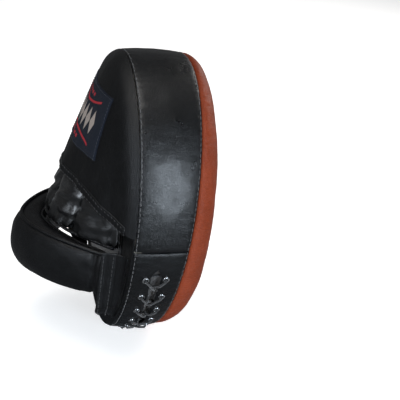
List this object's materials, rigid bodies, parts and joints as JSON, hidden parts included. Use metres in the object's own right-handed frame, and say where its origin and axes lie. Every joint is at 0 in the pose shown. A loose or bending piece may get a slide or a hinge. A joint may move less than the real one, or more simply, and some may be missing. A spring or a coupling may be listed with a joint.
{
  "type": "boxing focus mitt",
  "caption": "Oval padded hand target with a domed striking face, laced side wall, covered finger stalls and a stuffed wrist bolster.",
  "frame": {"origin": "middle of the pad's back face, in the plane of the back seam, where the wearer's palm bears", "axes": "+X across the mitt, +Z towards the fingertips, the target faces -Y and the hand goes on the +Y side"},
  "size_m": [0.2121, 0.1703, 0.278],
  "materials": {
    "target_leather": "satin",
    "black_leather": "gloss",
    "cover_leather": "satin",
    "bolster_leather": "satin",
    "stall_leather": "gloss",
    "lining_fabric": "matte",
    "tongue_fabric": "matte",
    "label_weave": "matte",
    "tag_fabric": "matte",
    "lace_cord": "matte",
    "eyelet_metal": "polished",
    "soft_foam": "matte",
    "dense_foam": "matte"
  },
  "bodies": {
    "mitt": {"target_face": "target_leather", "strike_foam": "soft_foam", "core_foam": "dense_foam", "palm_bed_foam": "soft_foam", "side_wall_upper": "black_leather", "side_wall_lower": "black_leather", "lace_tongue": "tongue_fabric", "lace": "lace_cord", "back_panel": "black_leather", "palm_lining": "lining_fabric", "care_tag": "tag_fabric", "finger_cover": "cover_leather", "cover_hem": "cover_leather", "label_patch": "label_weave", "stall_binding": "black_leather", "bolster_band_left": "black_leather", "bolster_band_right": "black_leather", "finger_stall_1": "stall_leather", "finger_stall_2": "stall_leather", "finger_stall_3": "stall_leather", "finger_stall_4": "stall_leather", "eyelet_back_01": "eyelet_metal", "eyelet_front_01": "eyelet_metal", "eyelet_back_02": "eyelet_metal", "eyelet_front_02": "eyelet_metal", "eyelet_back_03": "eyelet_metal", "eyelet_front_03": "eyelet_metal", "eyelet_back_04": "eyelet_metal", "eyelet_front_04": "eyelet_metal", "eyelet_back_05": "eyelet_metal", "eyelet_front_05": "eyelet_metal", "eyelet_back_06": "eyelet_metal", "eyelet_front_06": "eyelet_metal", "eyelet_back_07": "eyelet_metal", "eyelet_front_07": "eyelet_metal", "eyelet_back_08": "eyelet_metal", "eyelet_front_08": "eyelet_metal", "eyelet_back_09": "eyelet_metal", "eyelet_front_09": "eyelet_metal", "eyelet_back_10": "eyelet_metal", "eyelet_front_10": "eyelet_metal", "eyelet_back_11": "eyelet_metal", "eyelet_front_11": "eyelet_metal", "eyelet_back_12": "eyelet_metal", "eyelet_front_12": "eyelet_metal", "eyelet_back_13": "eyelet_metal", "eyelet_front_13": "eyelet_metal", "eyelet_back_14": "eyelet_metal", "eyelet_front_14": "eyelet_metal", "eyelet_back_15": "eyelet_metal", "eyelet_front_15": "eyelet_metal"},
    "bolster": {"bolster_shell": "bolster_leather", "bolster_lining": "lining_fabric", "bolster_foam": "soft_foam", "bolster_piping": "black_leather", "bolster_binding": "black_leather"}
  },
  "joints": [
    {"name": "bolster_swing", "type": "hinge", "parent": "mitt", "child": "bolster", "pos_m": [0, 0.011, -0.046], "axis": [1, 0, 0], "range_deg": [-10, 4], "stiffness_Nm_per_rad": 2}
  ]
}
